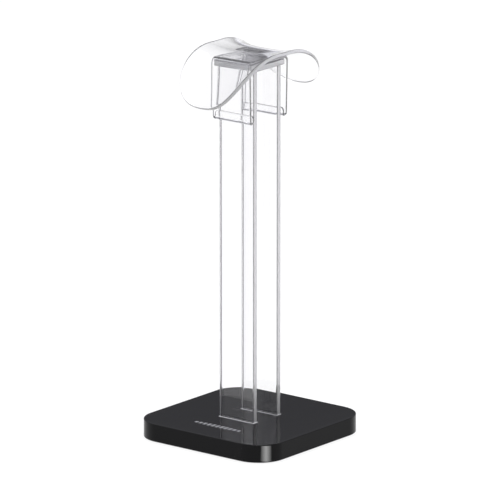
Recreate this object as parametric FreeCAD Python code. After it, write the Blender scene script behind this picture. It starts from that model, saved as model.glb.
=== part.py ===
"""Clear acrylic headphone stand on a gloss black base.

The origin is the centre of the footprint, on the surface that the stand rests on.
X runs across the legs, -Y is the front with the mark, and Z is up. Millimetres.
"""
import FreeCAD
import Part
import math
import os

from FreeCAD import Vector

# ---- base ----
BASE_SIDE = 120.0
BASE_CORNER = 21.3
BASE_TOP = 13.55
BASE_EDGE_ROUND = 0.6
FOOT_PROUD = 0.4

# ---- feet, set in shallow recesses under the base ----
FOOT_DIAMETER = 12.0
FOOT_RECESS = 1.0
FOOT_RECESS_PLAY = 0.2
FOOT_EDGE_ROUND = 0.3
FOOT_OFFSET = 42.0

# ---- legs, two clear strips that stand in slots in the base ----
LEG_WIDTH = 30.9
LEG_THICK = 4.55
LEG_OFFSET = 13.4
LEG_EDGE_ROUND = 0.25
SLOT_DEPTH = 5.0
SLOT_PLAY = 0.1

# ---- screws that hold the legs from under the base ----
SCREW_DIAMETER = 2.5
SCREW_PLAY = 0.05
SCREW_LENGTH = 8.3
SCREW_HEAD_DIAMETER = 4.8
SCREW_HEAD_HEIGHT = 1.8
SCREW_HEAD_PLAY = 0.3
SCREW_SEAT = 4.25
SCREW_SPACING = 18.0
SCREW_CROSS_WIDTH = 0.8
SCREW_CROSS_LENGTH = 3.0
SCREW_CROSS_DEPTH = 1.0

# ---- hook bracket, one bent strip over the top of the legs ----
BRACKET_WIDTH = 34.0
BRACKET_THICK = 2.0
BRACKET_TOP = 275.65
BRACKET_HALF_DEPTH = 22.0
BRACKET_BEND = 3.0
PANEL_LEAN = 1.4
PANEL_LENGTH = 37.2
HOOK_BEND = 1.6
HOOK_LIP = 3.9
LIP_CORNER = 3.0

# ---- tie plate, a thick clear plate that joins the tops of the legs under the bracket ----
TIE_WIDTH = 34.0
TIE_THICK = 4.55
TIE_EDGE_ROUND = 0.25

# ---- saddle, a clear sheet that the headband rests on ----
SADDLE_THICK = 2.6
SADDLE_HALF_LENGTH = 55.6
SADDLE_HALF_WIDTH = 31.6
SADDLE_CORNER_POWER = 3.8
SADDLE_SEAT_GAP = 0.33
SADDLE_FLAT = 6.0
SADDLE_DROP = 25.5
SADDLE_DROP_AT = 50.0
SADDLE_LIFT = 2.3
SADDLE_LIFT_AT = 30.0
SADDLE_TWIST = 7.2
SADDLE_GRID_X = 13
SADDLE_GRID_Y = 25
SADDLE_MARGIN = 3.0
SADDLE_OUTLINE_POINTS = 48

# ---- mark on the front of the base, a row of level bars ----
MARK_BARS = 11
MARK_BAR_WIDTH = 2.2
MARK_BAR_PITCH = 3.8
MARK_BAR_SHORT = 2.2
MARK_BAR_RISE = 2.6
MARK_THICK = 0.15
MARK_FROM_CENTRE = 36.7

SLAB_BOTTOM = FOOT_PROUD
LEG_BOTTOM = BASE_TOP - SLOT_DEPTH
TIE_TOP = BRACKET_TOP - BRACKET_THICK
LEG_TOP = TIE_TOP - TIE_THICK
BRACKET_FLAT = BRACKET_HALF_DEPTH - BRACKET_THICK / 2 - BRACKET_BEND
FOOT_TOP = SLAB_BOTTOM + FOOT_RECESS


def box(width, depth, bottom, top, x=0.0, y=0.0):
    """A box with its centre at (x, y), from bottom to top."""
    corner = Vector(x - width / 2, y - depth / 2, bottom)
    return Part.makeBox(width, depth, top - bottom, corner)


def rod(diameter, bottom, top, x=0.0, y=0.0):
    """An upright cylinder at (x, y), from bottom to top."""
    return Part.makeCylinder(diameter / 2, top - bottom, Vector(x, y, bottom))


def upright_edges(solid):
    """The straight edges of a solid that run along Z."""
    found = []
    for edge in solid.Edges:
        start = edge.Vertexes[0].Point
        end = edge.Vertexes[-1].Point
        if abs(start.x - end.x) < 1e-6 and abs(start.y - end.y) < 1e-6:
            found.append(edge)
    return found


def edges_at(solid, height):
    """The edges of a solid that lie in the level plane at this height."""
    return [e for e in solid.Edges if abs(e.BoundBox.ZMin - height) < 1e-6
            and abs(e.BoundBox.ZMax - height) < 1e-6]


def foot_places():
    """The centres of the four feet, by name."""
    places = {}
    for depth_name, y in (("front", -FOOT_OFFSET), ("rear", FOOT_OFFSET)):
        for side_name, x in (("left", -FOOT_OFFSET), ("right", FOOT_OFFSET)):
            places[f"foot_{depth_name}_{side_name}"] = (x, y)
    return places


def screw_places():
    """The centres of the four leg screws, two under each leg."""
    half = SCREW_SPACING / 2
    return [(x, y) for y in (-LEG_OFFSET, LEG_OFFSET) for x in (-half, half)]


def base_slab():
    """The rounded black block, with leg slots, screw holes and foot recesses."""
    slab = box(BASE_SIDE, BASE_SIDE, SLAB_BOTTOM, BASE_TOP)
    slab = slab.makeFillet(BASE_CORNER, upright_edges(slab))
    rims = edges_at(slab, BASE_TOP) + edges_at(slab, SLAB_BOTTOM)
    slab = slab.makeFillet(BASE_EDGE_ROUND, rims)
    for y in (-LEG_OFFSET, LEG_OFFSET):
        slot = box(LEG_WIDTH + 2 * SLOT_PLAY, LEG_THICK + 2 * SLOT_PLAY, LEG_BOTTOM, BASE_TOP + 1, y=y)
        slab = slab.cut(slot)
    for x, y in screw_places():
        slab = slab.cut(rod(SCREW_DIAMETER + 2 * SCREW_PLAY, 0, LEG_BOTTOM + 1, x, y))
        slab = slab.cut(rod(SCREW_HEAD_DIAMETER + 2 * SCREW_HEAD_PLAY, 0, SCREW_SEAT, x, y))
    for x, y in foot_places().values():
        slab = slab.cut(rod(FOOT_DIAMETER + 2 * FOOT_RECESS_PLAY, 0, FOOT_TOP, x, y))
    return slab


def foot(x, y):
    """A soft round foot that stands a little proud of its recess."""
    pad = rod(FOOT_DIAMETER, 0, FOOT_TOP, x, y)
    return pad.makeFillet(FOOT_EDGE_ROUND, edges_at(pad, 0))


def leg(y):
    """A polished clear strip, with two blind holes in its lower end."""
    strip = box(LEG_WIDTH, LEG_THICK, LEG_BOTTOM, LEG_TOP, y=y)
    strip = strip.makeFillet(LEG_EDGE_ROUND, upright_edges(strip))
    for hole_x, hole_y in screw_places():
        if hole_y == y:
            depth_end = SCREW_SEAT + SCREW_LENGTH + 0.2
            strip = strip.cut(rod(SCREW_DIAMETER + 2 * SCREW_PLAY, 0, depth_end, hole_x, hole_y))
    return strip


def screw(x, y):
    """A cheese-head screw with a cross recess, head down."""
    head_bottom = SCREW_SEAT - SCREW_HEAD_HEIGHT
    body = rod(SCREW_HEAD_DIAMETER, head_bottom, SCREW_SEAT, x, y)
    body = body.fuse(rod(SCREW_DIAMETER, SCREW_SEAT, SCREW_SEAT + SCREW_LENGTH, x, y))
    recess_top = head_bottom + SCREW_CROSS_DEPTH
    body = body.cut(box(SCREW_CROSS_LENGTH, SCREW_CROSS_WIDTH, head_bottom, recess_top, x, y))
    body = body.cut(box(SCREW_CROSS_WIDTH, SCREW_CROSS_LENGTH, head_bottom, recess_top, x, y))
    return body.removeSplitter()


def strip_face(steps, thick):
    """The side outline of a bent strip, as a face in the YZ plane.

    The steps walk along the middle of the strip, starting at Y = 0 and going along +Y.
    A step is ("run", length) or ("bend", degrees, radius), and a bend to the left is positive.
    """
    y, z, heading = 0.0, 0.0, 0.0
    left_side = []
    right_side = []
    for step in steps:
        along = Vector(0, math.cos(heading), math.sin(heading))
        left = Vector(0, -math.sin(heading), math.cos(heading))
        here = Vector(0, y, z)
        if step[0] == "run":
            there = here + along * step[1]
            for side, sign in ((left_side, 1), (right_side, -1)):
                shift = left * (sign * thick / 2)
                side.append(Part.LineSegment(here + shift, there + shift).toShape())
        else:
            turn = math.radians(step[1])
            way = 1 if turn > 0 else -1
            centre = here + left * (way * step[2])
            for side, sign in ((left_side, 1), (right_side, -1)):
                radius = step[2] - way * sign * thick / 2
                points = []
                for part in (0, 0.5, 1):
                    angle = heading + turn * part
                    out = Vector(0, math.sin(angle), -math.cos(angle)) * way
                    points.append(centre + out * radius)
                side.append(Part.Arc(*points).toShape())
            heading += turn
            out = Vector(0, math.sin(heading), -math.cos(heading)) * way
            there = centre + out * step[2]
        y, z = there.y, there.z
    start_cap = Part.LineSegment(left_side[0].Vertexes[0].Point, right_side[0].Vertexes[0].Point).toShape()
    end_cap = Part.LineSegment(left_side[-1].Vertexes[-1].Point, right_side[-1].Vertexes[-1].Point).toShape()
    edges = left_side + right_side + [start_cap, end_cap]
    return Part.Face(Part.Wire(Part.__sortEdges__(edges)))


def hook_bracket():
    """An inverted U with a small inward hook along the foot of each panel."""
    steps = [
        ("run", BRACKET_FLAT),
        ("bend", -(90 + PANEL_LEAN), BRACKET_BEND),
        ("run", PANEL_LENGTH),
        ("bend", PANEL_LEAN - 180, HOOK_BEND),
        ("run", HOOK_LIP),
    ]
    half = strip_face(steps, BRACKET_THICK).extrude(Vector(BRACKET_WIDTH, 0, 0))
    half.translate(Vector(-BRACKET_WIDTH / 2, 0, BRACKET_TOP - BRACKET_THICK / 2))
    other = half.mirror(Vector(0, 0, 0), Vector(0, 1, 0))
    bent = half.fuse(other).removeSplitter()
    return bent.makeFillet(LIP_CORNER, lip_corner_edges(bent))


def lip_corner_edges(bent):
    """The four short edges at the free corners of the hook lips."""
    found = []
    for edge in bent.Edges:
        bounds = edge.BoundBox
        at_side = abs(bounds.XMin) > BRACKET_WIDTH / 2 - 0.01 and bounds.XLength < 0.01
        level = bounds.ZLength < 0.01
        below_top = bounds.ZMax < BRACKET_TOP - PANEL_LENGTH
        if at_side and level and below_top and abs(bounds.YLength - BRACKET_THICK) < 0.01:
            found.append(edge)
    return found


def tie_plate():
    """The plate that rests on the legs and carries the bracket, with softly rounded sides."""
    plate = box(TIE_WIDTH, 2 * BRACKET_FLAT, LEG_TOP, TIE_TOP)
    return plate.makeFillet(TIE_EDGE_ROUND, upright_edges(plate))


def sheet_height(x, y):
    """The height of the middle of the saddle sheet over the point (x, y)."""
    span = SADDLE_DROP_AT - SADDLE_FLAT
    seat_fall = SADDLE_DROP * ((BRACKET_FLAT - SADDLE_FLAT) / span) ** 2
    seat = BRACKET_TOP + SADDLE_THICK / 2 + SADDLE_SEAT_GAP + seat_fall
    fall = SADDLE_DROP * (max(0.0, abs(y) - SADDLE_FLAT) / span) ** 2
    lift = SADDLE_LIFT * (abs(x) / SADDLE_LIFT_AT) ** 3
    twist = SADDLE_TWIST * (x / SADDLE_LIFT_AT) ** 2 * (y / SADDLE_DROP_AT) ** 2
    return seat - fall + lift + twist


def sheet_normal(x, y):
    """The upward unit normal of the saddle sheet over the point (x, y)."""
    step = 0.01
    slope_x = (sheet_height(x + step, y) - sheet_height(x - step, y)) / (2 * step)
    slope_y = (sheet_height(x, y + step) - sheet_height(x, y - step)) / (2 * step)
    return Vector(-slope_x, -slope_y, 1).normalize()


def sheet_face(offset):
    """A smooth face at this distance above the middle of the sheet, larger than the saddle."""
    half_x = SADDLE_HALF_WIDTH + SADDLE_MARGIN
    half_y = SADDLE_HALF_LENGTH + SADDLE_MARGIN
    rows = []
    for i in range(SADDLE_GRID_X):
        x = half_x * (2 * i / (SADDLE_GRID_X - 1) - 1)
        row = []
        for j in range(SADDLE_GRID_Y):
            y = half_y * (2 * j / (SADDLE_GRID_Y - 1) - 1)
            row.append(Vector(x, y, sheet_height(x, y)) + sheet_normal(x, y) * offset)
        rows.append(row)
    surface = Part.BSplineSurface()
    surface.interpolate(rows)
    return surface.toShape()


def saddle_outline():
    """The plan outline of the saddle, a rectangle with full, soft corners."""
    points = []
    for k in range(SADDLE_OUTLINE_POINTS):
        angle = 2 * math.pi * (k + 0.5) / SADDLE_OUTLINE_POINTS
        power = 2 / SADDLE_CORNER_POWER
        cosine, sine = math.cos(angle), math.sin(angle)
        x = math.copysign(abs(cosine) ** power, cosine) * SADDLE_HALF_WIDTH
        y = math.copysign(abs(sine) ** power, sine) * SADDLE_HALF_LENGTH
        points.append(Vector(x, y, 0))
    curve = Part.BSplineCurve()
    curve.interpolate(points, PeriodicFlag=True)
    return Part.Face(Part.Wire(curve.toShape()))


def saddle():
    """The sheet between its two skins, trimmed to its plan outline."""
    upper = sheet_face(SADDLE_THICK / 2)
    lower = sheet_face(-SADDLE_THICK / 2)
    walls = []
    for upper_edge, lower_edge in zip(upper.Edges, lower.Edges):
        walls.append(Part.makeRuledSurface(upper_edge, lower_edge))
    shell = Part.makeShell([upper, lower] + walls)
    slab = Part.makeSolid(shell)
    if slab.Volume < 0:
        slab.reverse()
    blank = saddle_outline()
    blank.translate(Vector(0, 0, BRACKET_TOP / 2))
    return slab.common(blank.extrude(Vector(0, 0, BRACKET_TOP)))


def front_mark():
    """A row of thin inlaid bars, like a level meter, tallest in the middle."""
    bars = []
    for k in range(MARK_BARS):
        x = (k - (MARK_BARS - 1) / 2) * MARK_BAR_PITCH
        length = MARK_BAR_SHORT + MARK_BAR_RISE * math.sin(math.pi * (k + 0.5) / MARK_BARS)
        bars.append(box(MARK_BAR_WIDTH, length, BASE_TOP, BASE_TOP + MARK_THICK, x, -MARK_FROM_CENTRE))
    return Part.Compound(bars)


def save(name, shape):
    """Write one node, after a check that its shape is sound."""
    if not shape.isValid():
        raise ValueError(f"{name} is not a valid shape")
    print(f"{name:18s} solids {len(shape.Solids)}  volume {shape.Volume:10.1f} mm3")
    shape.exportStep(f"parts/{name}.step")


os.makedirs("parts", exist_ok=True)
save("base_slab", base_slab())
for foot_name, (foot_x, foot_y) in foot_places().items():
    save(foot_name, foot(foot_x, foot_y))
save("front_leg", leg(-LEG_OFFSET))
save("rear_leg", leg(LEG_OFFSET))
save("base_screws", Part.Compound([screw(x, y) for x, y in screw_places()]))
save("tie_plate", tie_plate())
save("hook_bracket", hook_bracket())
save("saddle", saddle())
save("front_mark", front_mark())
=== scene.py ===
"""The looks of the clear acrylic headphone stand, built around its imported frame. Lengths are in metres."""
import math

import bmesh
import bpy
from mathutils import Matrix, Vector


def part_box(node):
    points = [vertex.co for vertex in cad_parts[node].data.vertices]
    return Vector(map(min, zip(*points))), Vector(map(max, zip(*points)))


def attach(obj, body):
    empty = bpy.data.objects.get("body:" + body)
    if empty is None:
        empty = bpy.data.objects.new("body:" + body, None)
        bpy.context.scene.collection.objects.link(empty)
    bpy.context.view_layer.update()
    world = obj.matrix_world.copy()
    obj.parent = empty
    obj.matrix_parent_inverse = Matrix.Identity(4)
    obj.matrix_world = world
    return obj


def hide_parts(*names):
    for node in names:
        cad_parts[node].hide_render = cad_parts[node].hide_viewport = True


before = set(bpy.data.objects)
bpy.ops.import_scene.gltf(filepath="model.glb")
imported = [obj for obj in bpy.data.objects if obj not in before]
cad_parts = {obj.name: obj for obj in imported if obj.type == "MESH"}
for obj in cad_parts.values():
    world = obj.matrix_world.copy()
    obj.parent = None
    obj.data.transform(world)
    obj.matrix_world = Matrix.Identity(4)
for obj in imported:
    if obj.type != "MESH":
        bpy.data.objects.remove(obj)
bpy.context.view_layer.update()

MM = 0.001
ROOT = "root"

# ---- shape values that the frame's boxes don't give ----
CORNERS = ((-1, -1), (1, -1), (1, 1), (-1, 1))
BASE_CORNER = 21.3 * MM
BASE_EDGE_ROUND = 0.6 * MM
SLOT_PLAY = 0.1 * MM
SLOT_CHAMFER = 0.2 * MM
RECESS_PLAY = 0.2 * MM
SCREW_HOLE = 1.3 * MM
SCREW_HEAD_HOLE = 2.7 * MM
SCREW_SEAT = 4.25 * MM
POLISH_ROUND = 0.8 * MM
REST_GAP = 0.05 * MM
# across and up from the foot of a leg, in millimetres
BEAD_OUTLINE = [(0.02, 0.01), (0.3, 0.01), (0.27, 0.2), (0.17, 0.37), (0.02, 0.45)]

BRACKET_THICK = 2.0 * MM
BRACKET_BEND = 3.0 * MM
BRACKET_ROUND = 0.8 * MM
PANEL_LEAN = math.radians(1.4)
PANEL_LENGTH = 37.2 * MM
HOOK_BEND = 1.6 * MM
HOOK_LIP = 3.9 * MM
LIP_CORNER = 3.0 * MM
LEAST_CORNER = 0.02 * MM
BRACKET_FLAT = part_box("hook_bracket")[1][1] - BRACKET_THICK / 2 - BRACKET_BEND

SADDLE_THICK = 2.6 * MM
SADDLE_CORNER_POWER = 3.8
SADDLE_FLAT = 6.0 * MM
SADDLE_DROP = 25.5 * MM
SADDLE_DROP_AT = 50.0 * MM
SADDLE_LIFT = 2.3 * MM
SADDLE_LIFT_AT = 30.0 * MM
SADDLE_TWIST = 7.2 * MM
SADDLE_SEAT_GAP = 0.33 * MM
SADDLE_INSET = Vector((0.5, 1.0)) * MM
SADDLE_ROUND = 0.4 * MM
SADDLE_CELLS = (64, 112)

FEET = ["foot_front_left", "foot_front_right", "foot_rear_left", "foot_rear_right"]
# a foot's half outline, as shares of its radius and height
FOOT_OUTLINE = [(0.42, 0.25), (0.46, 0.0), (0.9, 0.0), (0.96, 0.06), (1.0, 0.25), (1.0, 1.0)]

# ---- how the cut edges of the sheets look ----
FLAT_FACING = 0.9
CORNER_FACING = 0.2
CORNER_SATIN = 0.5
# painted shade on the cut edges: corners facing -X are darkened fully, corners facing +X a quarter as much,
# and the rim faintly
LEFT_CORNER_SHADE = 1.0
RIGHT_CORNER_SHADE = 0.25
RIM_SHADE = 0.06
# the end of each hook's lip, marked as a corner so that painted shade darkens it
LIP_END_HEIGHTS = (5 * MM, 8 * MM)
LIP_END_FACING = 0.3

# ---- materials ----
ACRYLIC_IOR = 1.49
# the colour of the painted shade on the cut edges
EDGE_SHADE_TINT = (0.12, 0.115, 0.14, 1)
CUT_TRANSMISSION = 0.54
CUT_ROUGHNESS = 0.07
SAW_SHARE = 0.1
FAINT_RELIEF = 0.01 * MM
DEPTH_COLOUR = (0.08, 0.06, 0.24, 1)
DEPTH_DENSITY = 10.0
BLACK_COLOUR = (0.0035, 0.0035, 0.004, 1)
DUST_COLOUR = (0.012, 0.012, 0.013, 1)
TOP_SPECULAR = 0.4
# the sides use a shaded copy of the top's black acrylic: their weaker reflection is painted shade
SHADED_SIDE_SPECULAR = 0.12
UPWARD = 0.5

# ---- camera, as the photograph sees the stand ----
CAMERA_AZIMUTH = math.radians(38.51)
CAMERA_ELEVATION = math.radians(14.60)
CAMERA_DISTANCE = 4.735
CAMERA_LENS = 482.0
CAMERA_ORBIT_HEIGHT = 0.14065
CAMERA_AIM_HEIGHT = 0.13515
SENSOR_WIDTH = 36.0

# ---- gridded strip that draws the highlight down the front corner of the base ----
STRIP_TURN = math.radians(14)
STRIP_DISTANCE = 5 * MM
STRIP_SIZE = (12 * MM, 11 * MM)
STRIP_SPREAD = math.radians(44)
STRIP_POWER = 0.0007

# ---- room: its grey at each height, as the sine of the elevation ----
ROOM_GREYS = ((0.12, 1.0), (0.18, 0.14), (0.27, 0.14), (0.34, 0.3), (0.5, 0.5))
ROOM_BLUENESS = 1.08
ROOM_HORIZON = (1, 1, 1, 1)
ROOM_ZENITH = (0.9, 0.9, 0.92, 1)
FLOOR_HALF_SIZE = 14.0
FLOOR_COLOUR = (0.18, 0.18, 0.18, 1)
FLOOR_GLOW = 0.82
STAND_MIDDLE = (0, 0, 0.15)
LIGHT_BOUNCES = 24


# ---------------------------------------------------------------- mesh help

def new_object(name, verts, faces):
    """A mesh object from points and faces, with its faces turned outward."""
    mesh = bpy.data.meshes.new(name)
    mesh.from_pydata([tuple(v) for v in verts], [], faces)
    shape = bmesh.new()
    shape.from_mesh(mesh)
    bmesh.ops.remove_doubles(shape, verts=shape.verts, dist=1e-7)
    bmesh.ops.recalc_face_normals(shape, faces=shape.faces)
    shape.to_mesh(mesh)
    shape.free()
    obj = bpy.data.objects.new(name, mesh)
    bpy.context.scene.collection.objects.link(obj)
    return obj


def apply_modifiers(obj):
    """Replace the object's mesh with the result of its modifiers."""
    bpy.context.view_layer.update()
    graph = bpy.context.evaluated_depsgraph_get()
    mesh = bpy.data.meshes.new_from_object(obj.evaluated_get(graph))
    obj.modifiers.clear()
    obj.data = mesh


def smooth(obj, degrees=40):
    """Smooth shading with crisp corners, weighted so that flat faces stay optically flat."""
    for polygon in obj.data.polygons:
        polygon.use_smooth = True
    obj.data.set_sharp_from_angle(angle=math.radians(degrees))
    weights = obj.modifiers.new("weights", "WEIGHTED_NORMAL")
    weights.weight = 100
    weights.keep_sharp = True
    apply_modifiers(obj)


def join_rings(rings, close_start=True, close_end=True):
    """Faces between rings with the same number of points, and a cap on each end."""
    count = len(rings[0])
    verts = [p for ring in rings for p in ring]
    faces = []
    for r in range(len(rings) - 1):
        for i in range(count):
            j = (i + 1) % count
            low, high = r * count, (r + 1) * count
            faces.append((low + i, low + j, high + j, high + i))
    if close_start:
        faces.append(tuple(reversed(range(count))))
    if close_end:
        start = (len(rings) - 1) * count
        faces.append(tuple(range(start, start + count)))
    return verts, faces


def cut(obj, cutters):
    """Cut solids out of an object, then drop the cutters."""
    for cutter in cutters:
        boolean = obj.modifiers.new("cut", "BOOLEAN")
        boolean.operation = "DIFFERENCE"
        boolean.solver = "EXACT"
        boolean.object = cutter
    apply_modifiers(obj)
    for cutter in cutters:
        bpy.data.objects.remove(cutter)


def box_corners(node):
    """The low and the high corner of a node's box."""
    low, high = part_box(node)
    return Vector(low), Vector(high)


def box_middle(node):
    """The middle of a node's box."""
    low, high = box_corners(node)
    return (low + high) / 2


def round_ring(radius, x, y, z, steps):
    """A level circle of points."""
    turns = [2 * math.pi * k / steps for k in range(steps)]
    return [(x + radius * math.cos(turn), y + radius * math.sin(turn), z) for turn in turns]


def square_ring(middle, half_x, half_y, z):
    """A level rectangle of points."""
    return [(middle.x + sx * half_x, middle.y + sy * half_y, z) for sx, sy in CORNERS]


def face_layer(obj, name, value_of):
    """A number on every face, for the material to read."""
    layer = obj.data.attributes.new(name, "FLOAT", "FACE")
    for polygon in obj.data.polygons:
        layer.data[polygon.index].value = value_of(polygon)


def mark_cut_faces(obj, facing):
    """Mark the cut edges of a sheet: a satin rim between rounded corners darkened by painted shade.

    facing gives how far a face looks the way the sheet does, from 0 on the rim to 1 on the sheet.
    """
    def satin_of(polygon):
        turned = facing(polygon)
        return 0.0 if turned > FLAT_FACING else CORNER_SATIN if turned > CORNER_FACING else 1.0

    def painted_shade_of(polygon):
        turned = facing(polygon)
        # painted shade: corners facing -X are darkened more than corners facing +X
        corner = LEFT_CORNER_SHADE if polygon.normal.x < 0 else RIGHT_CORNER_SHADE
        return 0.0 if turned > FLAT_FACING else corner if turned > CORNER_FACING else RIM_SHADE

    face_layer(obj, "cut_edge", satin_of)
    face_layer(obj, "painted_edge_shade", painted_shade_of)


# ---------------------------------------------------------------- materials

def new_material(name):
    """A node material, its node tree and its shader."""
    material = bpy.data.materials.new(name)
    material.use_nodes = True
    tree = material.node_tree
    shader = tree.nodes["Principled BSDF"]
    return material, tree, shader


def add(tree, kind, **values):
    """A node with the given inputs set by their names, underscores standing for spaces."""
    node = tree.nodes.new(kind)
    for key, value in values.items():
        name = key.replace("_", " ")
        if name in node.inputs:
            node.inputs[name].default_value = value
        else:
            setattr(node, key, value)
    return node


def place(tree, scale=(1, 1, 1)):
    """Object coordinates, stretched by a scale."""
    coordinates = tree.nodes.new("ShaderNodeTexCoord")
    mapping = tree.nodes.new("ShaderNodeMapping")
    mapping.inputs["Scale"].default_value = scale
    tree.links.new(coordinates.outputs["Object"], mapping.inputs["Vector"])
    return mapping.outputs["Vector"]


def noise(tree, vector, scale, detail=3.0, roughness=0.5):
    """A noise pattern over a vector."""
    node = add(tree, "ShaderNodeTexNoise", Scale=scale, Detail=detail, Roughness=roughness)
    tree.links.new(vector, node.inputs["Vector"])
    return node.outputs["Fac"]


def remap(tree, value, low, high, to_low, to_high):
    """A value moved from one range to another, and held inside it."""
    node = tree.nodes.new("ShaderNodeMapRange")
    node.inputs["From Min"].default_value = low
    node.inputs["From Max"].default_value = high
    node.inputs["To Min"].default_value = to_low
    node.inputs["To Max"].default_value = to_high
    tree.links.new(value, node.inputs["Value"])
    return node.outputs["Result"]


def math_node(tree, operation, first, second):
    """One step of arithmetic on two values or sockets."""
    node = tree.nodes.new("ShaderNodeMath")
    node.operation = operation
    for socket, value in zip(node.inputs, (first, second)):
        if hasattr(value, "links"):
            tree.links.new(value, socket)
        else:
            socket.default_value = value
    return node.outputs["Value"]


def bump(tree, shader, height, distance):
    """Surface relief from a height, with its distance in metres."""
    node = add(tree, "ShaderNodeBump", Strength=1.0, Distance=distance)
    tree.links.new(height, node.inputs["Height"])
    tree.links.new(node.outputs["Normal"], shader.inputs["Normal"])


def clear_acrylic():
    """Cast clear sheet: polished faces with faint waves, satin cut edges with painted shade on their corners
    and rim, and a grey lilac depth.
    """
    material, tree, shader = new_material("clear_acrylic")
    shader.inputs["IOR"].default_value = ACRYLIC_IOR
    # painted shade: the marked cut edges get a darker base colour
    shade_amount = add(tree, "ShaderNodeAttribute", attribute_name="painted_edge_shade")
    tint = add(tree, "ShaderNodeValToRGB")
    tint.color_ramp.elements[0].color = (1, 1, 1, 1)
    tint.color_ramp.elements[1].color = EDGE_SHADE_TINT
    tree.links.new(shade_amount.outputs["Fac"], tint.inputs["Fac"])
    tree.links.new(tint.outputs["Color"], shader.inputs["Base Color"])
    edge = add(tree, "ShaderNodeAttribute", attribute_name="cut_edge")
    smudges = remap(tree, noise(tree, place(tree), 55, 4), 0.55, 0.8, 0.0, 0.02)
    cuts = math_node(tree, "MULTIPLY", edge.outputs["Fac"], CUT_ROUGHNESS)
    tree.links.new(math_node(tree, "ADD", smudges, cuts), shader.inputs["Roughness"])
    tree.links.new(remap(tree, edge.outputs["Fac"], 0, 1, 1.0, CUT_TRANSMISSION),
                   shader.inputs["Transmission Weight"])
    waves = noise(tree, place(tree, (1, 1, 0.4)), 35, 1)
    saw = noise(tree, place(tree, (40, 40, 0.2)), 60, 2)
    saw_on_cuts = math_node(tree, "MULTIPLY", saw, edge.outputs["Fac"])
    saw_on_cuts = math_node(tree, "MULTIPLY", saw_on_cuts, SAW_SHARE)
    bump(tree, shader, math_node(tree, "ADD", waves, saw_on_cuts), FAINT_RELIEF)
    depth = add(tree, "ShaderNodeVolumeAbsorption", Color=DEPTH_COLOUR, Density=DEPTH_DENSITY)
    output = tree.nodes["Material Output"]
    tree.links.new(depth.outputs["Volume"], output.inputs["Volume"])
    return material


def black_acrylic(name, specular):
    """Gloss black acrylic: a mirror skin with faint hairlines and a little dust."""
    material, tree, shader = new_material(name)
    dust = remap(tree, noise(tree, place(tree), 900, 4, 0.7), 0.66, 0.8, 0.0, 1.0)
    colour = add(tree, "ShaderNodeMix", data_type="RGBA")
    tree.links.new(dust, colour.inputs["Factor"])
    mixed = [s for s in colour.inputs if s.type == "RGBA"]
    mixed[0].default_value = BLACK_COLOUR
    mixed[1].default_value = DUST_COLOUR
    tree.links.new([s for s in colour.outputs if s.type == "RGBA"][0], shader.inputs["Base Color"])
    hairlines = noise(tree, place(tree, (1, 40, 1)), 90, 5, 0.7)
    handling = noise(tree, place(tree), 24, 3)
    rough = math_node(tree, "MULTIPLY", remap(tree, handling, 0.4, 0.8, 0.0, 1.0), 0.03)
    tree.links.new(math_node(tree, "ADD", rough, remap(tree, hairlines, 0.6, 0.8, 0.02, 0.05)),
                   shader.inputs["Roughness"])
    shader.inputs["IOR"].default_value = ACRYLIC_IOR
    shader.inputs["Specular IOR Level"].default_value = specular
    bump(tree, shader, noise(tree, place(tree), 30, 2), FAINT_RELIEF)
    return material


def speckled(name, scale, detail, dark, light, roughness, relief, stretch=(1, 1, 1), metallic=0.0):
    """One grain pattern that drives the colour, the roughness and the relief."""
    material, tree, shader = new_material(name)
    shader.inputs["Metallic"].default_value = metallic
    grain = noise(tree, place(tree, stretch), scale, detail)
    ramp = add(tree, "ShaderNodeValToRGB")
    for element, colour in zip(ramp.color_ramp.elements, (dark, light)):
        element.color = (*colour, 1)
    tree.links.new(grain, ramp.inputs["Fac"])
    tree.links.new(ramp.outputs["Color"], shader.inputs["Base Color"])
    tree.links.new(remap(tree, grain, 0.3, 0.7, *roughness), shader.inputs["Roughness"])
    bump(tree, shader, grain, relief)
    return material


def cement():
    """Milky cured cement with a slightly lumpy surface."""
    return speckled("cement", 700, 3, dark=(0.45, 0.45, 0.46), light=(0.85, 0.85, 0.87),
                    roughness=(0.3, 0.45), relief=0.03 * MM)


def foot_rubber():
    """Matte dark rubber with a fine grain."""
    return speckled("foot_rubber", 2500, 3, dark=(0.035, 0.035, 0.037), light=(0.075, 0.075, 0.08),
                    roughness=(0.6, 0.8), relief=0.05 * MM)


def screw_steel():
    """Satin steel with turning marks round each head."""
    return speckled("screw_steel", 1800, 2, dark=(0.42, 0.42, 0.44), light=(0.62, 0.62, 0.63),
                    roughness=(0.22, 0.4), relief=0.02 * MM, stretch=(1, 1, 8), metallic=1.0)


def mark_foil():
    """Brushed silver foil."""
    return speckled("mark_foil", 120, 3, dark=(0.34, 0.34, 0.36), light=(0.6, 0.6, 0.62),
                    roughness=(0.3, 0.5), relief=0.01 * MM, stretch=(6, 220, 1), metallic=0.7)


# ---------------------------------------------------------------- base

def slab_ring(half, inset, z, arc_steps=18):
    """One level outline of the rounded square, drawn in by an inset."""
    points = []
    for quarter in range(4):
        turn = quarter * math.pi / 2
        reach = half - BASE_CORNER
        centre = Vector((reach if quarter in (0, 3) else -reach,
                         reach if quarter in (0, 1) else -reach, 0))
        for k in range(arc_steps + 1):
            angle = turn + math.pi / 2 * k / arc_steps
            radius = BASE_CORNER - inset
            points.append((centre.x + radius * math.cos(angle), centre.y + radius * math.sin(angle), z))
    return points


def upright(radius, bottom, top, x, y, steps=32):
    """A closed upright cylinder, used as a cutter."""
    rings = [round_ring(radius, x, y, z, steps) for z in (bottom, top)]
    return new_object("cutter", *join_rings(rings))


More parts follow.
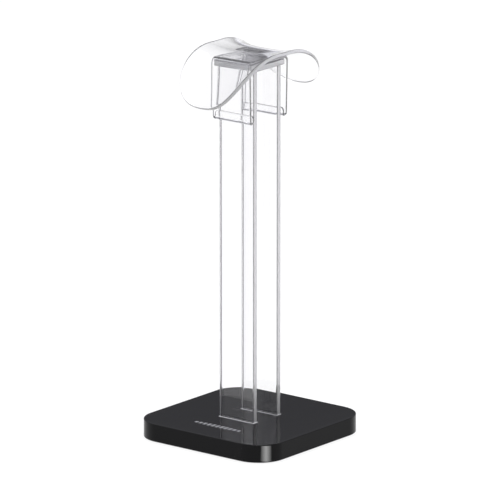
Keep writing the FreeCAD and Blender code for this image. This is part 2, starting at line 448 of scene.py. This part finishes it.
def slot_cutter(node, bottom, top):
    """The slot that a leg stands in, with a small chamfer round its mouth."""
    low, high = box_corners(node)
    half_x = (high.x - low.x) / 2 + SLOT_PLAY
    half_y = (high.y - low.y) / 2 + SLOT_PLAY
    above = 1.0 * MM
    levels = ((0, bottom), (0, top - SLOT_CHAMFER), (SLOT_CHAMFER + above, top + above))
    rings = [square_ring(box_middle(node), half_x + grow, half_y + grow, z) for grow, z in levels]
    return new_object("cutter", *join_rings(rings))


def make_base(top_material, side_material):
    """The black slab, with rounded rims, leg slots, screw holes and foot recesses."""
    low, high = box_corners("base_slab")
    half = (high.x - low.x) / 2
    steps = 6
    flat_band = 0.3 * MM
    rings = [slab_ring(half, BASE_EDGE_ROUND + flat_band, low.z)]
    for k in range(steps + 1):
        angle = math.pi / 2 * k / steps
        inset = BASE_EDGE_ROUND * (1 - math.sin(angle))
        rings.append(slab_ring(half, inset, low.z + BASE_EDGE_ROUND * (1 - math.cos(angle))))
    for k in range(steps + 1):
        angle = math.pi / 2 * k / steps
        inset = BASE_EDGE_ROUND * (1 - math.cos(angle))
        rings.append(slab_ring(half, inset, high.z - BASE_EDGE_ROUND * (1 - math.sin(angle))))
    rings.append(slab_ring(half, BASE_EDGE_ROUND + flat_band, high.z))
    base = new_object("base_block", *join_rings(rings))
    leg_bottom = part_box("front_leg")[0][2]
    cutters = [slot_cutter(node, leg_bottom - REST_GAP, high.z) for node in ("front_leg", "rear_leg")]
    for name in FEET:
        foot_low, foot_high = box_corners(name)
        middle = (foot_low + foot_high) / 2
        radius = (foot_high.x - foot_low.x) / 2 + RECESS_PLAY
        cutters.append(upright(radius, -MM, foot_high.z, middle.x, middle.y, 48))
    for x, y in screw_places():
        cutters.append(upright(SCREW_HEAD_HOLE, -MM, SCREW_SEAT, x, y))
        cutters.append(upright(SCREW_HOLE, SCREW_SEAT - MM, leg_bottom + MM, x, y, 24))
    cut(base, cutters)
    smooth(base, 30)
    base.data.materials.append(top_material)
    base.data.materials.append(side_material)
    # painted shade: every face not turned up takes the darker copy of the black material
    for polygon in base.data.polygons:
        if polygon.normal.z < UPWARD:
            polygon.material_index = 1
    finish_piece(base, "base_slab")


def screw_places():
    """The centres of the four screws, from their box and the legs they hold."""
    high = box_corners("base_screws")[1]
    leg_y = (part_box("front_leg")[1][1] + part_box("front_leg")[0][1]) / 2
    head_radius = high.y + leg_y
    reach = high.x - head_radius
    return [(sx * reach, sy * leg_y) for sx in (-1, 1) for sy in (-1, 1)]


# ---------------------------------------------------------------- legs and tie plate

def make_plate(node, name, material, facing):
    """A flat clear piece with softly polished corners, a hair short of what it touches."""
    low, high = box_corners(node)
    low.z += REST_GAP
    high.z -= REST_GAP
    plate = new_object(name, *join_rings([
        [(low.x, low.y, z), (high.x, low.y, z), (high.x, high.y, z), (low.x, high.y, z)]
        for z in (low.z, high.z)]))
    rounding = plate.modifiers.new("round", "BEVEL")
    rounding.width = POLISH_ROUND
    rounding.segments = 3
    rounding.limit_method = "NONE"
    apply_modifiers(plate)
    smooth(plate, 60)
    mark_cut_faces(plate, facing)
    plate.data.materials.append(material)
    finish_piece(plate, node)


def make_bead(node, name, material):
    """A fine bead of cement round the foot of a leg, where it leaves its slot."""
    low, high = box_corners(node)
    half_x, half_y = (high.x - low.x) / 2, (high.y - low.y) / 2
    base_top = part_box("base_slab")[1][2]
    rings = [square_ring(box_middle(node), half_x + out * MM, half_y + out * MM, base_top + up * MM)
             for out, up in BEAD_OUTLINE + BEAD_OUTLINE[:1]]
    bead = new_object(name, *join_rings(rings, False, False))
    smooth(bead, 60)
    bead.data.materials.append(material)
    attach(bead, ROOT)


# ---------------------------------------------------------------- hook bracket

def walk_strip(steps, arc_step=math.radians(6)):
    """Points and headings along the middle of a bent strip that starts along +Y, with the way gone."""
    y, z, heading, gone = 0.0, 0.0, 0.0, 0.0
    path = [(y, z, heading, gone)]
    for step in steps:
        if step[0] == "run":
            y += math.cos(heading) * step[1]
            z += math.sin(heading) * step[1]
            gone += step[1]
            path.append((y, z, heading, gone))
        else:
            turn, radius = step[1], step[2]
            way = 1 if turn > 0 else -1
            centre_y = y - math.sin(heading) * way * radius
            centre_z = z + math.cos(heading) * way * radius
            count = max(2, round(abs(turn) / arc_step))
            for k in range(1, count + 1):
                angle = heading + turn * k / count
                path.append((centre_y + math.sin(angle) * way * radius,
                             centre_z - math.cos(angle) * way * radius, angle,
                             gone + abs(turn) * radius * k / count))
            y, z, heading, gone = path[-1]
    return path


def rounding_inset(left_over, radius):
    """How far a rounded corner draws the side in, this far from the end."""
    if left_over >= radius:
        return 0.0
    return radius - math.sqrt(radius ** 2 - (radius - left_over) ** 2)


def lip_runs():
    """The lengths of the short runs along the lip, finer towards its rounded end."""
    left_over = {0.0, HOOK_LIP}
    for radius, steps in ((LIP_CORNER, 12), (BRACKET_ROUND, 3)):
        for k in range(1, steps + 1):
            left_over.add(radius * (1 - math.cos(math.pi / 2 * k / steps)))
    marks = sorted(left_over, reverse=True)
    return [("run", first - second) for first, second in zip(marks, marks[1:])]


def strip_section(station, end, half_width):
    """The rounded outline across the strip at one station."""
    y, z, heading, gone = station
    left_over = end - gone
    half_width -= rounding_inset(left_over, LIP_CORNER)
    shrink = rounding_inset(left_over, BRACKET_ROUND)
    half_width -= shrink
    half_thick = BRACKET_THICK / 2 - shrink
    corner = max(BRACKET_ROUND - shrink, LEAST_CORNER)
    steps = 3
    points = []
    for across, up, start in ((1, 1, 0), (-1, 1, 90), (-1, -1, 180), (1, -1, 270)):
        for k in range(steps + 1):
            angle = math.radians(start + 90 * k / steps)
            x = across * (half_width - corner) + corner * math.cos(angle)
            out = up * (half_thick - corner) + corner * math.sin(angle)
            points.append(Vector((x, y - math.sin(heading) * out, z + math.cos(heading) * out)))
    return points


def make_bracket(material):
    """The bent clear strip over the legs, with a small hook along the foot of each panel."""
    low, high = box_corners("hook_bracket")
    steps = [
        ("run", BRACKET_FLAT),
        ("bend", -(math.pi / 2 + PANEL_LEAN), BRACKET_BEND),
        ("run", PANEL_LENGTH),
        ("bend", PANEL_LEAN - math.pi, HOOK_BEND),
    ]
    one_way = walk_strip(steps + lip_runs())
    end = one_way[-1][3]
    half_width = (high.x - low.x) / 2
    rear = [strip_section(station, end, half_width) for station in one_way]
    front = [[Vector((p.x, -p.y, p.z)) for p in ring] for ring in reversed(rear[1:])]
    rings = front + rear
    for ring in rings:
        for point in ring:
            point.z += high.z - BRACKET_THICK / 2
    bracket = new_object("bent_bracket", *join_rings(rings))
    smooth(bracket, 50)

    def facing(polygon):
        """As for any sheet, with the end of each hook's lip marked as a corner, so that it gets the corners'
        satin and painted shade.
        """
        height = polygon.center.z - low.z
        if polygon.normal.z > LIP_END_FACING and LIP_END_HEIGHTS[0] < height < LIP_END_HEIGHTS[1]:
            return (FLAT_FACING + CORNER_FACING) / 2
        return math.sqrt(max(0.0, 1 - polygon.normal.x ** 2))

    mark_cut_faces(bracket, facing)
    bracket.data.materials.append(material)
    finish_piece(bracket, "hook_bracket")


# ---------------------------------------------------------------- saddle

def sheet_height(x, y):
    """The height of the middle of the saddle sheet over its seat."""
    span = SADDLE_DROP_AT - SADDLE_FLAT
    fall = SADDLE_DROP * (max(0.0, abs(y) - SADDLE_FLAT) / span) ** 2
    lift = SADDLE_LIFT * (abs(x) / SADDLE_LIFT_AT) ** 3
    twist = SADDLE_TWIST * (x / SADDLE_LIFT_AT) ** 2 * (y / SADDLE_DROP_AT) ** 2
    return lift + twist - fall


def sheet_normal(x, y):
    """The upward unit normal of the sheet."""
    step = 0.01 * MM
    slope_x = (sheet_height(x + step, y) - sheet_height(x - step, y)) / (2 * step)
    slope_y = (sheet_height(x, y + step) - sheet_height(x, y - step)) / (2 * step)
    return Vector((-slope_x, -slope_y, 1)).normalized()


def saddle_point(u, v, half_x, half_y, inset, offset):
    """A point of the sheet: (u, v) runs over a square that is mapped to the rounded outline."""
    reach = max(abs(u), abs(v))
    if reach < 1e-9:
        x = y = 0.0
    else:
        cosine, sine = u / math.hypot(u, v), v / math.hypot(u, v)
        power = SADDLE_CORNER_POWER
        radius = reach * (abs(cosine) ** power + abs(sine) ** power) ** (-1 / power)
        x = radius * cosine * (half_x - inset)
        y = radius * sine * (half_y - inset)
    return Vector((x, y, sheet_height(x, y))) + sheet_normal(x, y) * offset


def make_saddle(material):
    """The curved clear sheet, cut square to its own surface and softly rounded along its rim."""
    low, high = box_corners("saddle")
    half_x = (high.x - low.x) / 2 - SADDLE_INSET.x
    half_y = (high.y - low.y) / 2 - SADDLE_INSET.y
    bracket_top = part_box("hook_bracket")[1][2]
    seat = bracket_top + SADDLE_THICK / 2 + SADDLE_SEAT_GAP - sheet_height(0, BRACKET_FLAT)
    cells_x, cells_y = SADDLE_CELLS
    us = [2 * i / cells_x - 1 for i in range(cells_x + 1)]
    vs = [2 * j / cells_y - 1 for j in range(cells_y + 1)]
    border = [(u, -1.0) for u in us] + [(1.0, v) for v in vs[1:]]
    border += [(u, 1.0) for u in us[-2::-1]] + [(-1.0, v) for v in vs[-2:0:-1]]
    verts, faces = [], []

    def add_skin(offset):
        start = len(verts)
        for u in us:
            for v in vs:
                verts.append(saddle_point(u, v, half_x, half_y, SADDLE_ROUND, offset))
        across = len(vs)
        for i in range(cells_x):
            for j in range(cells_y):
                corner = start + i * across + j
                faces.append((corner, corner + across, corner + across + 1, corner + 1))

    half = SADDLE_THICK / 2
    add_skin(half)
    add_skin(-half)
    levels = []
    steps = 5
    for k in range(steps + 1):
        angle = math.pi / 2 * k / steps
        inset = SADDLE_ROUND * (1 - math.sin(angle))
        levels.append((inset, half - SADDLE_ROUND * (1 - math.cos(angle))))
    levels += [(inset, -offset) for inset, offset in reversed(levels)]
    rings = [[saddle_point(u, v, half_x, half_y, inset, offset) for u, v in border]
             for inset, offset in levels]
    rim_start = len(verts)
    rim_verts, rim_faces = join_rings(rings, False, False)
    verts += rim_verts
    faces += [tuple(i + rim_start for i in face) for face in rim_faces]
    for vert in verts:
        vert.z += seat
    saddle = new_object("curved_saddle", verts, faces)
    for polygon in saddle.data.polygons:
        polygon.use_smooth = True
    mark_cut_faces(saddle, lambda polygon: abs(polygon.normal.dot(
        sheet_normal(polygon.center.x, polygon.center.y))))
    saddle.data.materials.append(material)
    finish_piece(saddle, "saddle")


# ---------------------------------------------------------------- small pieces

def make_foot(node, material):
    """A turned rubber foot with a rounded rim and a shallow ring in its face."""
    low, high = box_corners(node)
    middle = (low + high) / 2
    radius = (high.x - low.x) / 2
    height = high.z - low.z
    rings = [round_ring(radius * across, middle.x, middle.y, low.z + height * up, 64)
             for across, up in FOOT_OUTLINE]
    foot = new_object(node.replace("foot_", "pad_"), *join_rings(rings))
    smooth(foot, 40)
    foot.data.materials.append(material)
    finish_piece(foot, node)


def finish_piece(obj, node):
    """Attach a piece to the frame's body and hide the CAD node that it replaces."""
    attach(obj, ROOT)
    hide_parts(node)


def dress_node(node, material):
    """Give a carried-over CAD node its material."""
    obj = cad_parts[node]
    if not obj.material_slots:
        obj.data.materials.append(material)
    for material_slot in obj.material_slots:
        material_slot.material = material


# ---------------------------------------------------------------- studio

def make_floor():
    """A wide pale floor."""
    corners = square_ring(Vector((0, 0, 0)), FLOOR_HALF_SIZE, FLOOR_HALF_SIZE, 0)
    floor = new_object("floor", corners, [(0, 1, 2, 3)])
    material, _, shader = new_material("floor")
    shader.inputs["Base Color"].default_value = FLOOR_COLOUR
    shader.inputs["Roughness"].default_value = 0.9
    shader.inputs["Specular IOR Level"].default_value = 0.1
    shader.inputs["Emission Color"].default_value = (1, 1, 1, 1)
    shader.inputs["Emission Strength"].default_value = FLOOR_GLOW
    floor.data.materials.append(material)


def area_light(name, place_at, aim, size, power):
    """A soft panel that faces its aim."""
    data = bpy.data.lights.new(name, "AREA")
    data.shape = "RECTANGLE"
    data.size, data.size_y = size
    data.energy = power
    light = bpy.data.objects.new(name, data)
    light.location = place_at
    direction = Vector(aim) - Vector(place_at)
    light.rotation_mode = "QUATERNION"
    light.rotation_quaternion = direction.to_track_quat("-Z", "Y")
    light.visible_camera = False
    bpy.context.scene.collection.objects.link(light)
    return light


def make_corner_strip():
    """A gridded strip close to the front corner of the base, seen only as the highlight down it."""
    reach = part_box("base_slab")[1][0] - BASE_CORNER
    wall = CAMERA_AZIMUTH + STRIP_TURN
    away = CAMERA_AZIMUTH + 2 * STRIP_TURN
    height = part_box("base_slab")[1][2] / 2
    corner = Vector((reach + BASE_CORNER * math.sin(wall),
                     -reach - BASE_CORNER * math.cos(wall), height))
    outward = Vector((math.sin(away), -math.cos(away), -math.tan(CAMERA_ELEVATION)))
    strip = area_light("corner_strip", corner + outward * STRIP_DISTANCE, corner,
                       STRIP_SIZE, STRIP_POWER)
    strip.data.spread = STRIP_SPREAD
    strip.visible_diffuse = False
    strip.visible_transmission = False
    strip.visible_volume_scatter = False


def make_world():
    """A room with a bright horizon, a dark band low over it, and a lighter ceiling."""
    world = bpy.data.worlds.new("studio")
    world.use_nodes = True
    bpy.context.scene.world = world
    tree = world.node_tree
    coordinates = tree.nodes.new("ShaderNodeTexCoord")
    split = tree.nodes.new("ShaderNodeSeparateXYZ")
    tree.links.new(coordinates.outputs["Generated"], split.inputs["Vector"])
    ramp = tree.nodes.new("ShaderNodeValToRGB")
    tree.links.new(split.outputs["Z"], ramp.inputs["Fac"])
    elements = ramp.color_ramp.elements
    elements[0].position, elements[0].color = 0.0, ROOM_HORIZON
    elements[1].position, elements[1].color = 1.0, ROOM_ZENITH
    for height, grey in ROOM_GREYS:
        elements.new(height).color = (grey, grey, grey * ROOM_BLUENESS, 1)
    tree.links.new(ramp.outputs["Color"], tree.nodes["Background"].inputs["Color"])


def make_camera():
    """The photograph's viewpoint, with a long lens."""
    data = bpy.data.cameras.new("camera")
    data.lens = CAMERA_LENS
    data.sensor_width = SENSOR_WIDTH
    data.clip_start, data.clip_end = 0.1, 60.0
    camera = bpy.data.objects.new("camera", data)
    back = Vector((math.sin(CAMERA_AZIMUTH) * math.cos(CAMERA_ELEVATION),
                   -math.cos(CAMERA_AZIMUTH) * math.cos(CAMERA_ELEVATION),
                   math.sin(CAMERA_ELEVATION)))
    camera.location = Vector((0, 0, CAMERA_ORBIT_HEIGHT)) + back * CAMERA_DISTANCE
    aim = Vector((0, 0, CAMERA_AIM_HEIGHT)) - camera.location
    camera.rotation_mode = "QUATERNION"
    camera.rotation_quaternion = aim.to_track_quat("-Z", "Y")
    bpy.context.scene.collection.objects.link(camera)
    bpy.context.scene.camera = camera


# ---------------------------------------------------------------- the stand

sheet = clear_acrylic()
# the second material is a shaded copy for the sides, with painted shade in its weaker reflection
make_base(black_acrylic("gloss_black_acrylic", TOP_SPECULAR),
          black_acrylic("gloss_black_shaded_sides", SHADED_SIDE_SPECULAR))
for leg_node, leg_name in (("front_leg", "clear_leg_front"), ("rear_leg", "clear_leg_rear")):
    make_plate(leg_node, leg_name, sheet, lambda polygon: abs(polygon.normal.y))
white_cement = cement()
make_bead("front_leg", "bead_front", white_cement)
make_bead("rear_leg", "bead_rear", white_cement)
make_plate("tie_plate", "clear_tie_plate", sheet, lambda polygon: abs(polygon.normal.z))
make_bracket(sheet)
make_saddle(sheet)
rubber = foot_rubber()
for foot_node in FEET:
    make_foot(foot_node, rubber)
dress_node("base_screws", screw_steel())
dress_node("front_mark", mark_foil())

make_floor()
make_world()
area_light("overhead", (0, 0, 2.4), (0, 0, 0), (2.4, 2.4), 60).visible_glossy = False
area_light("left", (-1.9, -2.4, 0.9), STAND_MIDDLE, (2.2, 1.5), 15)
area_light("right", (2.6, 1.6, 1.0), STAND_MIDDLE, (1.2, 1.6), 6)
make_corner_strip()
make_camera()
bpy.context.scene.view_settings.view_transform = "Standard"
bpy.context.scene.cycles.max_bounces = LIGHT_BOUNCES
bpy.context.scene.cycles.transmission_bounces = LIGHT_BOUNCES
